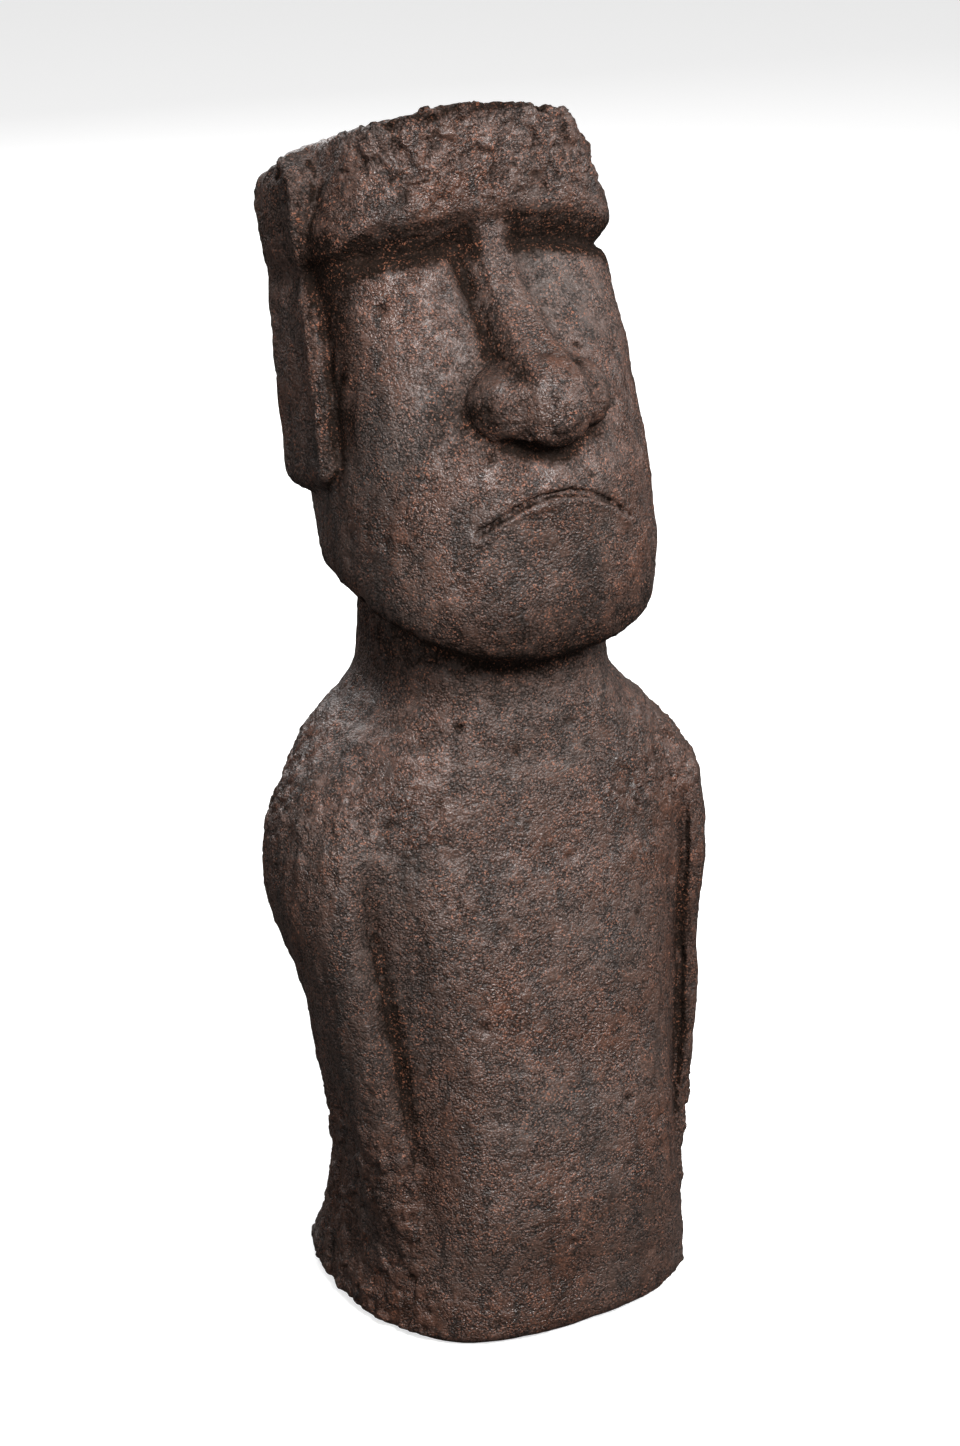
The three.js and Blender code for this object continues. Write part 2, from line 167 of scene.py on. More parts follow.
EAR = dict(lobe=74, sole=79, drop=88, shell=150, pinch=165, hood=215, top=233)
EAR_FRONT = dict(lobe=0, sole=9, drop=17, shell=15.5, pinch=13, hood=15, top=-6)
EAR_REAR = dict(lobe=-14, sole=-23, drop=-29, shell=-31, hood=-33, top=-18)
EAR_OUTSIDE = dict(lobe=82, drop=83, pinch=80, hood=79, top=77)
EAR_RIM = dict(height=2.6, inset=5, width=3.2)
EAR_DISH = dict(depth=1.4, inset=15, width=7)
EAR_PINCH = dict(up=176, width=9, depth=5, sink=1.5)
EAR_TOP_SLOPE = dict(front=0.5, rear=0.25, side=0.35)
EAR_LOBE_SLOPE = 0.6

# Body and head are joined in this band of heights; below it is only body, above it only head.
NECK_BAND = (325, 392)
# Above this height a pattern that follows the face is used.
HEAD_ONLY = 400

# ------------------------------------------------------------------ relief in millimetres

WANDER = dict(size=34, reach=1.3)
GRIT = dict(spacing=4.2, height=0.4)
SCRAPE = dict(width=4.5, length=45)
BRUSH = dict(width=2.4, length=16)
PLATE = dict(size=8.5, step=3.2, joint=1.3)
SHARD_SIZE = 3.6
# Where a plate's edge starts and ends, as a share of its size.
PLATE_EDGE = (0.02, 0.12)
BITE = dict(size=8, depth=2.4, reach=7)
PIT = dict(spacing=17, depth=2.3)
RELIEF_LIMITS = (-3.5, 2.2)

MERGE_DISTANCE = 0.02
# The thinned mesh ends this share below the limit.
FACE_LIMIT = 199000
FACE_MARGIN = 0.995
BATCH = 60000

# ------------------------------------------------------------------ coat

# Height of the recess line under the brow, where its painted shade is darkest, in millimetres up the head.
RECESS_TOP = 177
RECESS_BOW = dict(right=0.0006, left=0.0028)
# What the material reads from every vertex; it paints shade into the coat from all four.
FACTS = ("hollow", "shade", "under", "pooled_shade")
# How often each pattern of the coat repeats in a metre.
PER_METRE = dict(
    patches=17, streaks=62, flecked=75, mottle=105, dashes=150, ridges=190, lumps=260,
    jitter=420, flecks=800, crumbs=820, grain=1500,
)
JITTER_REACH = 0.0022

# ------------------------------------------------------------------ studio in metres

FLOOR_HALF_SIZE = 20
LIGHT_DISTANCE = 2.2
LIGHT_TARGET = Vector((0, 0.02, 0.32))
FRAME_HEIGHT_MM = 36
AIM_HEIGHT = 0.29
AIM_TURN = math.radians(-0.31)


# ------------------------------------------------------------------ curves


def curve_through(sizes, levels):
    """Smooth, overshoot-free curve through named stations, as a fast lookup."""
    stations = sorted((levels[name], value) for name, value in sizes.items())
    at = np.array([s[0] for s in stations], float)
    size = np.array([s[1] for s in stations], float)
    rise = np.diff(size) / np.diff(at)
    slope = np.empty_like(at)
    slope[0], slope[-1] = rise[0], rise[-1]
    product = rise[:-1] * rise[1:]
    slope[1:-1] = np.where(product > 0, 2 * product / (rise[:-1] + rise[1:] + 1e-12), 0)
    grid = np.arange(at[0], at[-1] + 0.5, 0.5)
    i = np.clip(np.searchsorted(at, grid, side="right") - 1, 0, len(at) - 2)
    span = at[i + 1] - at[i]
    t = np.clip((grid - at[i]) / span, 0, 1)
    value = (
        (2 * t**3 - 3 * t**2 + 1) * size[i] + (t**3 - 2 * t**2 + t) * span * slope[i]
        + (3 * t**2 - 2 * t**3) * size[i + 1] + (t**3 - t**2) * span * slope[i + 1]
    )
    return lambda x: np.interp(x, grid, value)


BODY = {
    key: curve_through(sizes, LEVEL)
    for key, sizes in dict(
        lean=BODY_LEAN, width=BODY_HALF_WIDTH, front=BODY_FRONT, back=BODY_BACK,
        arm_out=ARM_OUTSIDE, arm_y=ARM_CENTRE, arm_depth=ARM_HALF_DEPTH,
        groove_x=GROOVE_SIDE, groove_y=GROOVE_FRONT, groove=GROOVE_DEPTH,
    ).items()
}
HEAD = {
    key: curve_through(sizes, FACE)
    for key, sizes in dict(
        cheek_width=CHEEK_HALF_WIDTH, cheek_out=CHEEK_OUT, brow_width=BROW_HALF_WIDTH,
        brow_out=BROW_OUT, core_width=CORE_HALF_WIDTH, skull_width=SKULL_HALF_WIDTH,
        nose_out=NOSE_OUT, nose_width=NOSE_HALF_WIDTH, nose_groove=NOSE_GROOVE,
        cheek_square=CHEEK_SQUARENESS,
    ).items()
}
EARS = {
    key: curve_through(sizes, EAR)
    for key, sizes in dict(front=EAR_FRONT, rear=EAR_REAR, outside=EAR_OUTSIDE).items()
}


# ------------------------------------------------------------------ distance helpers

def soft_min(a, b, blend):
    """The nearer of two distances, with the corner between them rounded."""
    h = np.maximum(blend - np.abs(a - b), 0) / blend
    return np.minimum(a, b) - h * h * blend * 0.25


def soft_max(a, b, blend):
    """The farther of two distances, with the corner between them rounded."""
    return -soft_min(-a, -b, blend)


def bell(distance, width):
    """1 at no distance, fading to nothing over about twice the width."""
    return np.exp(-((distance / width) ** 2))


def ramp(x, low, high):
    """0 below low and 1 above high, with a smooth rise between them."""
    t = np.clip((x - low) / (high - low), 0, 1)
    return t * t * (3 - 2 * t)


def section(side, out, half_width, front, back, squareness):
    """Near-distance to a rounded-square section with its own front and back reach."""
    reach = np.where(out > 0, front, back)
    a = np.abs(side) / half_width
    b = np.abs(out) / reach
    q = np.maximum((a**squareness + b**squareness) ** (1 / squareness), 1e-6)
    gx = (a / q) ** (squareness - 1) / half_width
    gy = (b / q) ** (squareness - 1) / reach
    return (q - 1) / np.maximum(np.hypot(gx, gy), 1e-4)


def ball(side, out, up, centre, radius):
    """Near-distance to a ball with its own radius in each direction."""
    x, y, z = ((v - c) / r for v, c, r in zip((side, out, up), centre, radius))
    k0 = np.sqrt(x * x + y * y + z * z)
    k1 = np.sqrt((x / radius[0]) ** 2 + (y / radius[1]) ** 2 + (z / radius[2]) ** 2)
    return k0 * (k0 - 1) / np.maximum(k1, 1e-6)


def by_side(side, sizes):
    """The size for the statue's own right or left, at every point."""
    return np.where(side < 0, sizes["right"], sizes["left"])


# ------------------------------------------------------------------ seeded noise

TURNS = np.random.default_rng(7).permutation(256)
TURNS = np.concatenate([TURNS, TURNS, TURNS])
DIRS = np.random.default_rng(11).normal(size=(256, 3))
DIRS = (DIRS / np.linalg.norm(DIRS, axis=1, keepdims=True)).astype(np.float32)
SPOTS = np.random.default_rng(13).random((256, 3)).astype(np.float32)


def cell_hash(i, j, k, seed):
    """A scrambled number from 0 to 255 for every cell of a grid."""
    return TURNS[TURNS[TURNS[(i + seed) & 255] + (j & 255)] + (k & 255)]


def noise(p, size, seed):
    """Gradient noise of the given feature size, about -1 to 1."""
    q = np.asarray(p / size, np.float32) + np.float32(0.37 * seed)
    i = np.floor(q).astype(np.int32)
    f = q - i
    s = f * f * f * (f * (f * 6 - 15) + 10)
    total = 0
    for dx in (0, 1):
        wx = s[:, 0] if dx else 1 - s[:, 0]
        for dy in (0, 1):
            wy = s[:, 1] if dy else 1 - s[:, 1]
            for dz in (0, 1):
                wz = s[:, 2] if dz else 1 - s[:, 2]
                g = DIRS[cell_hash(i[:, 0] + dx, i[:, 1] + dy, i[:, 2] + dz, seed)]
                dot = g[:, 0] * (f[:, 0] - dx) + g[:, 1] * (f[:, 1] - dy) + g[:, 2] * (f[:, 2] - dz)
                total = total + wx * wy * wz * dot
    return total * 1.7


def layered(p, size, octaves, seed, gain=0.5):
    """Noise with finer and fainter noise on top of it."""
    total, amount, norm = 0, 1.0, 0
    for n in range(octaves):
        total = total + amount * noise(p, size / 2**n, seed + 5 * n)
        norm += amount
        amount *= gain
    return total / norm


def cells(p, size, seed):
    """Distances to the nearest and next scattered spot, and a value per spot, in cell sizes."""
    q = np.asarray(p / size, np.float32)
    i = np.floor(q).astype(np.int32)
    f = q - i
    near = np.full(len(q), 9.0, np.float32)
    after = near.copy()
    value = np.zeros(len(q), np.float32)
    for dx in (-1, 0, 1):
        for dy in (-1, 0, 1):
            for dz in (-1, 0, 1):
                h = cell_hash(i[:, 0] + dx, i[:, 1] + dy, i[:, 2] + dz, seed)
                spot = SPOTS[h]
                d = (
                    (spot[:, 0] + dx - f[:, 0]) ** 2 + (spot[:, 1] + dy - f[:, 1]) ** 2
                    + (spot[:, 2] + dz - f[:, 2]) ** 2
                )
                closer = d < near
                after = np.where(closer, near, np.minimum(after, d))
                value = np.where(closer, h / np.float32(255), value)
                near = np.where(closer, d, near)
    return np.sqrt(near), np.sqrt(after), value


# ------------------------------------------------------------------ form of the figure

def arm_groove(x, y, z):
    """How far outside the groove in front of each arm a point lies, and how far from it."""
    outside = np.abs(x) - BODY["groove_x"](z)
    return outside, np.hypot(outside, y - BODY["groove_y"](z))


def body_distance(x, y, z):
    """Near-distance to the torso, the arms and the neck."""
    s = section(
        x, BODY["lean"](z) - y, BODY["width"](z), BODY["front"](z), BODY["back"](z), BODY_SQUARENESS
    )
    depth = BODY["arm_depth"](z)
    inset = LEFT_ARM_INSET["depth"] * (x > 0) * bell(z - LEFT_ARM_INSET["z"], LEFT_ARM_INSET["height"])
    arm = section(
        np.abs(x) - (BODY["arm_out"](z) - inset - ARM_HALF_THICKNESS), BODY["arm_y"](z) - y,
        ARM_HALF_THICKNESS, depth, depth, ARM_SQUARENESS,
    )
    arm = soft_max(soft_max(arm, ARM_LOW_END - z, 6), z - LEVEL["yoke"], 10)
    s = soft_min(s, arm, ARM_BLEND)
    outside, away = arm_groove(x, y, z)
    cut = BODY["groove"](z)
    slit = bell(outside + GROOVE_SLIT["inset"], GROOVE_SLIT["width"]) * bell(away, 22)
    s = s + cut * (bell(away, GROOVE_WIDTH) + GROOVE_SLIT["share"] * slit)
    s = s + np.where(outside < 0, GROOVE_SOFT_SHARE * cut * bell(away - 4, GROOVE_SOFT_WIDTH), 0)
    return soft_max(soft_max(s, -z, 4), z - NECK_TOP, 2)


def nose_distance(side, out, up):
    """Near-distance to the bridge, the tip and the wings, with the nostrils cut in."""
    beside = np.abs(side)
    front = HEAD["nose_out"](up)
    flank = (beside - HEAD["nose_width"](up) - NOSE_FLARE * np.maximum(front - out, 0)) * 0.92
    bridge = soft_max(flank, out - front, 2)
    bridge = soft_max(soft_max(bridge, up - NOSE_TOP, 3), NOSE_ROOT - out, 2)
    bridge = soft_max(bridge, NOSE_UNDER - up - 0.25 * (out - 86), 6)
    wing = ball(beside, out, up, **NOSE_WING)
    nose = soft_min(soft_min(bridge, ball(side, out, up, **NOSE_TIP), 9), wing, 8)
    hole = bell(np.hypot(beside - NOSTRIL["side"], up - NOSTRIL["up"]), NOSTRIL["width"])
    hole = hole * bell(out - NOSTRIL["out"], 12)
    # The crease that runs round behind the right wing.
    wing_side, _, wing_up = NOSE_WING["centre"]
    around_wing = np.hypot(side + wing_side, 0.9 * (up - wing_up)) - 19.5
    crease = bell(around_wing, 2.2) * (side < -14) * (up > NOSE_UNDER)
    return nose + by_side(side, NOSTRIL) * hole + 1.6 * crease * bell(out - 66, 9)


def ear_distance(side, out, up):
    """Near-distance to the long ears, with a raised front rim and a pinch near the top."""
    beside = np.abs(side)
    pinch = bell(up - EAR_PINCH["up"], EAR_PINCH["width"])
    front = EARS["front"](up) - EAR_PINCH["depth"] * pinch
    crest = up - EAR["top"] + EAR_TOP_SLOPE["rear"] * np.maximum(-out - 4, 0)
    crest = crest + EAR_TOP_SLOPE["front"] * np.maximum(out, 0)
    crest = crest + EAR_TOP_SLOPE["side"] * np.maximum(beside - 68, 0)
    sole = EAR["lobe"] + 1 - up + EAR_LOBE_SLOPE * np.maximum(beside - 74, 0)
    outline = np.maximum(out - front, EARS["rear"](up) - out)
    outline = np.maximum(outline, np.maximum(sole, crest) * 0.9)
    rim = EAR_RIM["height"] * bell(out - front + EAR_RIM["inset"], EAR_RIM["width"])
    rim = rim * np.clip((up - 76) / 10, 0, 1) * (1 - pinch)
    dish = EAR_DISH["depth"] * bell(out - front + EAR_DISH["inset"], EAR_DISH["width"])
    dish = dish + EAR_PINCH["sink"] * pinch
    slab = soft_max(outline, beside - EARS["outside"](up) - rim + dish, 5)
    return soft_max(slab, 40 - beside, 2)


def mouth_line(side, out, up):
    """How much deeper the surface lies along the mouth, its lower lip and the right corner."""
    above = up - (MOUTH_MIDDLE - MOUTH_SLOPE * side - MOUTH_DROOP * side * side)
    fade = np.clip((MOUTH_HALF_WIDTH - np.abs(side)) / 4, 0, 1) * (out > 40)
    lip = LIP_HEIGHT * bell(above + 3.3, 1.7)
    corner = 1.5 * bell(np.hypot(side + MOUTH_HALF_WIDTH, up - 49), 3) * (out > 40)
    return fade * (MOUTH_DEPTH * bell(above, 1.6) - lip) - corner


def head_frame(x, y, z):
    """A point's place on the leaning head: to its left, out to the front, and up from the neck."""
    dy, dz = y - HEAD_FOOT_Y, z - HEAD_FOOT_Z
    s, c = math.sin(HEAD_LEAN), math.cos(HEAD_LEAN)
    return x, dz * s - dy * c, dy * s + dz * c


def brow_drop(side):
    """How far the brow's lower edge falls towards its two ends."""
    return by_side(side, BROW_BOW) * side * side + BROW_END_DROP * ramp(-side, *BROW_END)


def head_distance(x, y, z):
    """Near-distance to the head: cheeks, core, brow and skull, with its nose, ears and mouth."""
    side, out, up = head_frame(x, y, z)
    fore = out - HEAD_AXIS_OUT
    lift = by_side(side, JAW_LIFT) * side * side
    under = JAW_HEIGHT + lift + JAW_RISE * (y - JAW_FRONT) - z

    cheek = section(
        side, fore, HEAD["cheek_width"](up), HEAD["cheek_out"](up) - HEAD_AXIS_OUT, HEAD_BACK,
        HEAD["cheek_square"](up),
    )
    muzzle = MUZZLE["swell"] * bell(side, MUZZLE["half_width"])
    muzzle = muzzle * bell(up - FACE["mouth"], MUZZLE["half_height"])
    cheek = cheek - np.where(out > 0, muzzle, 0)
    groove_side = 11.5 + 0.12 * np.maximum(up - 125, 0)
    share = np.where(side > 0, NOSE_GROOVE_LEFT_SHARE, 1) * (out > 0)
    groove = bell(np.abs(side) - groove_side, NOSE_GROOVE_WIDTH)
    cheek = cheek + share * HEAD["nose_groove"](up) * groove
    shelf = up + by_side(side, CHEEK_BOW) * side * side - CHEEK_TOP
    cheek = soft_max(cheek, shelf * 0.9 + (out - 48) * 0.25, 3)
    cheek = soft_max(cheek, under, JAW_ROUND)

    core = section(
        side, fore, HEAD["core_width"](up), CORE_OUT - HEAD_AXIS_OUT, HEAD_BACK - 2, BODY_SQUARENESS
    )
    core = soft_max(soft_max(core, up - HEAD_HEIGHT + 5, 2), under, JAW_ROUND)

    brow = section(
        side, fore, HEAD["brow_width"](up), HEAD["brow_out"](up) - HEAD_AXIS_OUT, HEAD_BACK,
        BROW_SQUARENESS,
    )
    edge = BROW_EDGE - up - brow_drop(side)
    undercut = (edge + BROW_UNDERCUT * np.minimum(brow, 10)) / math.hypot(1, BROW_UNDERCUT)
    brow = soft_max(brow, undercut, 2)

    skull = section(
        side, out + SKULL["behind"], HEAD["skull_width"](up), SKULL["front"], SKULL["back"],
        SKULL["squareness"],
    )
    skull = soft_max(skull, under, JAW_BACK_ROUND)

    s = soft_min(soft_min(soft_min(cheek, core, 2), brow, 2), skull, 4)
    crown = (up - HEAD_HEIGHT) * math.cos(CROWN_TILT) - (out - 60) * math.sin(CROWN_TILT)
    s = soft_max(s, crown + CROWN_ROUND * side * side + CROWN_SLOPE * side, CROWN_EDGE)
    s = soft_min(s, nose_distance(side, out, up), 2.5)
    s = soft_min(s, ear_distance(side, out, up), 2.5)
    return s + mouth_line(side, out, up)


def warp(p):
    """Hand-made unevenness: the whole form wanders by about a millimetre."""
    drift = [layered(p, WANDER["size"], 2, seed) for seed in (21, 22, 23)]
    return np.stack(drift, axis=1) * WANDER["reach"]


def figure_distance(p):
    """Near-distance to the whole figure."""
    q = p + warp(p)
    x, y, z = q[:, 0], q[:, 1], q[:, 2]
    result = np.empty(len(p))
    low, high = z < NECK_BAND[0], z > NECK_BAND[1]
    mid = ~(low | high)
    if low.any():
        result[low] = body_distance(x[low], y[low], z[low])
    if high.any():
        result[high] = head_distance(x[high], y[high], z[high])
    if mid.any():
        result[mid] = soft_min(
            body_distance(x[mid], y[mid], z[mid]), head_distance(x[mid], y[mid], z[mid]), 3
        )
    return result


def gradient(p):
    """The distance at every point, and the direction in which it grows."""
    step = 0.4
    base = figure_distance(p)
    slopes = []
    for axis in range(3):
        q = p.copy()
        q[:, axis] += step
        slopes.append((figure_distance(q) - base) / step)
    return base, np.stack(slopes, axis=1)


def settle(p, rounds):
    """Moves points onto the figure's surface and returns them with their outward normals."""
    for _ in range(rounds):
        d, g = gradient(p)
        size = np.maximum((g * g).sum(1), 0.05)
        move = -(np.clip(d, -4, 4) / size)[:, None] * g
        length = np.linalg.norm(move, axis=1, keepdims=True)
        p = p + move * np.minimum(1, 3 / np.maximum(length, 1e-6))
    _, g = gradient(p)
    return p, g / np.maximum(np.linalg.norm(g, axis=1, keepdims=True), 1e-6)


# ------------------------------------------------------------------ carved relief

def stretched(p, width, length):
    """Points squeezed so that noise of size 1 is drawn out upwards."""
    return np.stack([p[:, 0] / width, p[:, 1] / width, p[:, 2] / length], axis=1)


def flaky_zones(x, z, side, out, up):
    """Where the crust broke into plates: forehead, crown, shoulders, foot of the flanks, nose."""
    on_head = z > HEAD_ONLY
    forehead = ramp(up, 192, 203) * ramp(out, 12, 40) * on_head
    crown = ramp(up, 232, 240) * on_head
    shoulders = bell(z - 264, 30) * ramp(np.abs(x + 12), 25, 60) * (z < 330)
    flanks = ramp(np.abs(x), 62, 84) * (1 - ramp(z, 85, 135))
    nose = 0.45 * bell(up - 105, 22) * ramp(out, 70, 84)
    return np.clip(forehead + crown + 0.7 * shoulders + 0.8 * flanks + nose, 0, 1)


def relief(p, n):
    """Height of the worked surface over the smooth form, in millimetres."""
    x, y, z = p[:, 0], p[:, 1], p[:, 2]
    side, out, up = head_frame(x, y, z)
    on_head = z > HEAD_ONLY
    flaky = flaky_zones(x, z, side, out, up)
    height = 0.5 * layered(p, 17, 2, 31) + (0.2 + 0.4 * flaky) * layered(p, 6.5, 3, 37, 0.6)
    # Grit standing proud.
    near, _, value = cells(p + 0.9 * noise(p, 5, 3)[:, None], GRIT["spacing"], 5)
    height += GRIT["height"] * (value > 0.5) * bell(near, 0.4)
    # Long down-strokes of the scraper, strongest on the arms, ears and temples.
    flank = ramp(np.abs(x), 45, 85) + 1.2 * ramp(up, 200, 210) * ramp(-side, 20, 45) * on_head
    height += (0.3 + 0.4 * flank) * noise(stretched(p, **SCRAPE), 1.0, 51)
    height += 0.28 * noise(stretched(p, **BRUSH), 1.0, 53)
    # Brushed lines along the underside of the brow.
    along = np.stack([side / 20, out / 2.6, up / 2.6], axis=1)
    height += 0.45 * bell(up - 188, 9) * on_head * noise(along, 1.0, 55)
    # Broken plates with sunk joints, and the smaller shards on them.
    bent = p + 2.6 * np.stack([noise(p, 8, seed) for seed in (61, 62, 63)], axis=1)
    near, after, value = cells(bent * (1, 1, 0.75), PLATE["size"], 9)
    joint = 1 - ramp(after - near, *PLATE_EDGE)
    height += flaky * (PLATE["step"] * (value - 0.5) - PLATE["joint"] * joint * (value > 0.3))
    near, after, value = cells(bent * (1, 1, 0.5), SHARD_SIZE, 19)
    height += (0.12 + 0.9 * flaky) * (value - 0.5) * ramp(after - near, *PLATE_EDGE)
    # Bites out of the sharper edges.
    sharp = np.clip(1 + figure_distance(p - n * BITE["reach"]) / BITE["reach"], 0, 1)
    bite = ramp(layered(p, BITE["size"], 2, 71), 0.12, 0.5)
    height -= BITE["depth"] * bite * ramp(sharp, 0.12, 0.45) * (0.35 + 0.65 * flaky)
    return height


def pits(p):
    """Depth of the small round holes, most of them near the foot, on the chest and on top."""
    x, z = p[:, 0], p[:, 2]
    near, _, value = cells(p, PIT["spacing"], 17)
    common = np.clip((z < 75) + bell(z - 215, 60) * (x > -20) + (z > 500), 0.25, 1)
    return PIT["depth"] * (value > 0.72 - 0.32 * common) * bell(near, 0.06 + 0.1 * value)


# ------------------------------------------------------------------ meshes

def read_vectors(items, name):
    """A vector of every vertex or normal of a mesh."""
    flat = np.empty(len(items) * 3, np.float32)
    items.foreach_get(name, flat)
    return flat.reshape(-1, 3).astype(np.float64)


def put_points(mesh, points):
    """Moves every vertex of a mesh, with places in millimetres."""
    mesh.vertices.foreach_set("co", np.ascontiguousarray(points * MM, np.float32).ravel())
    mesh.update()


def apply_modifier(obj, kind, **settings):
    """Puts the result of a modifier in the object's mesh."""
    modifier = obj.modifiers.new(kind.title(), kind)
    for key, value in settings.items():
        setattr(modifier, key, value)
    depsgraph = bpy.context.evaluated_depsgraph_get()
    finished = bpy.data.meshes.new_from_object(obj.evaluated_get(depsgraph))
    obj.modifiers.clear()
    spent = obj.data
    obj.data = finished
    bpy.data.meshes.remove(spent)
    if not len(finished.vertices):
        raise RuntimeError(f"{kind} left nothing of {obj.name}")


def in_batches(function, points):
    """The function's results for all points, worked out a batch at a time."""
    parts = [function(points[i:i + BATCH]) for i in range(0, len(points), BATCH)]
    if isinstance(parts[0], tuple):
        return tuple(np.concatenate(column) for column in zip(*parts))
    return np.concatenate(parts)


def put_attribute(mesh, name, values):
    """Keeps a number for every vertex under a name that the material reads."""
    attribute = mesh.attributes.new(name, "FLOAT", "POINT")
    attribute.data.foreach_set("value", np.ascontiguousarray(values, np.float32))


def carve_figure(node, name, grain):
    """A merged copy of the plain solid, refined onto the carved form and given its relief."""
    mesh = bpy.data.meshes.new(name)
    bm = bmesh.new()
    bm.from_mesh(node.data)
    bmesh.ops.remove_doubles(bm, verts=bm.verts, dist=MERGE_DISTANCE * MM)
    bm.to_mesh(mesh)
    bm.free()
    mesh.transform(node.matrix_world)
    obj = bpy.data.objects.new(name, mesh)
    bpy.context.scene.collection.objects.link(obj)
    for size, rounds in ((1.7 * grain, 2), (grain, 3)):
        apply_modifier(obj, "REMESH", mode="VOXEL", voxel_size=size * MM)
        points = read_vectors(obj.data.vertices, "co") / MM
        points, normals = in_batches(lambda q: settle(q, rounds), points)
        points[:, 2] = np.maximum(points[:, 2], 0)
        put_points(obj.data, points)
    lift = in_batches(
        lambda q: relief(q[:, :3], q[:, 3:]) - pits(q[:, :3]),
        np.concatenate([points, normals], axis=1),
    )
    lift = np.clip(lift, *RELIEF_LIMITS) * ramp(points[:, 2], 0.3, 5)
    put_points(obj.data, points + normals * lift[:, None])
    faces = sum(len(f.vertices) - 2 for f in obj.data.polygons)
    if faces > FACE_LIMIT:
        apply_modifier(obj, "DECIMATE", ratio=FACE_LIMIT / faces * FACE_MARGIN)
    return obj


def shade_and_pooled_coat(p):
    """Painted shade, together with the dark coat pooled there: under the brow, by the nose and ears, on the
    temples and crown, on the neck and along the arms.
    """
    x, y, z = p[:, 0], p[:, 1], p[:, 2]
    side, out, up = head_frame(x, y, z)
    beside = np.abs(side)

    # Painted shade under the brow, darkest along the recess line and lighter up to the brow's edge.
    recess = RECESS_TOP - by_side(side, RECESS_BOW) * side * side
    drop = brow_drop(side)
    brow = 1 - 0.3 * ramp(up, recess + 2, recess + 12)
    brow = brow - 0.7 * ramp(up, BROW_EDGE - 5 - drop, BROW_EDGE + 1 - drop)
    brow = brow * ramp(up, recess - 5, recess + 1)
    brow = brow * ramp(out, 14, 30) * (1 - ramp(10 - beside + 0.5 * (out - 50), 0, 5))

    # Painted shade along the flanks of the nose, fainter on the left, round the wings, beside the right
    # wing and under the nose.
    flank = bell(beside - 16.5, 6.5) * ramp(up, 112, 126) * (1 - ramp(up, 176, 190)) * (out > 35)
    flank = flank * np.where(side < 0, 1, 0.35)
    wing = bell(np.hypot(beside - 33, up - 105), 8) * (out > 50)
    wing = wing + 0.6 * ramp(-side, 19, 33) * bell(up - 106, 17) * (out > 60)
    wing = wing + bell(up - 90, 3.5) * bell(side, 30) * (out > 70)

    # Painted shade in the groove in front of the ears and on the temples.
    ear = bell(out - EARS["front"](up) - 9, 10) * ramp(beside, 60, 68) * ramp(up, 82, 100)
    ear = ear * (1 - ramp(up, 185, 200))
    temple = ramp(beside, 60, 68) * ramp(up, 150, 175) * (1 - ramp(out, 38, 50))
    # Painted shade on the crown, which dims the lights' reflection there.
    crown = ramp(up, HEAD_HEIGHT - 7, HEAD_HEIGHT - 1)
    head = brow + 0.65 * flank + 0.5 * wing + 0.7 * ear + 0.3 * temple + 0.6 * crown

    # Painted shade in the groove in front of each arm, and on the neck under the chin.
    outside, away = arm_groove(x, y, z)
    slit = bell(outside + GROOVE_SLIT["inset"], 5) * bell(away, 24)
    arm = BODY["groove"](z) / 15 * (slit + 0.45 * bell(away, 16)) * (z < 300)
    neck = bell(z - 345, 26)
    return np.clip(ramp(z, 350, 372) * head + 0.6 * neck + 0.95 * arm, 0, 1)


def surface_facts(mesh):
    """For every vertex: how hollow and shaded it lies, how it faces down, and the painted shade with its
    pooled coat.
    """
    points = read_vectors(mesh.vertices, "co") / MM
    normals = read_vectors(mesh.vertex_normals, "vector")

    def look(q):
        p, n = q[:, :3], q[:, 3:]
        lost = {d: np.clip(1 - figure_distance(p + n * d) / d, 0, 1.3) for d in (4, 8, 16, 32)}
        hollow = 0.35 * lost[4] + 0.35 * lost[8] + 0.3 * lost[16]
        shade = 0.4 * lost[16] + 0.6 * lost[32]
        return np.stack([hollow, shade, np.clip(-n[:, 2], 0, 1), shade_and_pooled_coat(p)], axis=1)

    return in_batches(look, np.concatenate([points, normals], axis=1))


# ------------------------------------------------------------------ shader expressions

class Value:
    """A shader socket that can be used in Python expressions."""

    def __init__(self, shader, socket):
        self.shader, self.socket = shader, socket

    def _math(self, operation, *inputs):
        return self.shader.node("ShaderNodeMath", {"operation": operation}, dict(enumerate(inputs)))

    def __add__(self, other):
        return self._math("ADD", self, other)

    __radd__ = __add__

    def __sub__(self, other):
        return self._math("SUBTRACT", self, other)

    def __rsub__(self, other):
        return self._math("SUBTRACT", other, self)

    def __mul__(self, other):
        return self._math("MULTIPLY", self, other)

    __rmul__ = __mul__

    def clamp(self):
        """The value held between 0 and 1."""
        return self._math("MINIMUM", self._math("MAXIMUM", self, 0.0), 1.0)

    def step(self, low, high):
        """0 below low and 1 above high, with a smooth rise between them."""
        return self.shader.node(
            "ShaderNodeMapRange", {"interpolation_type": "SMOOTHSTEP"},
            {"Value": self, "From Min": low, "From Max": high},
        )


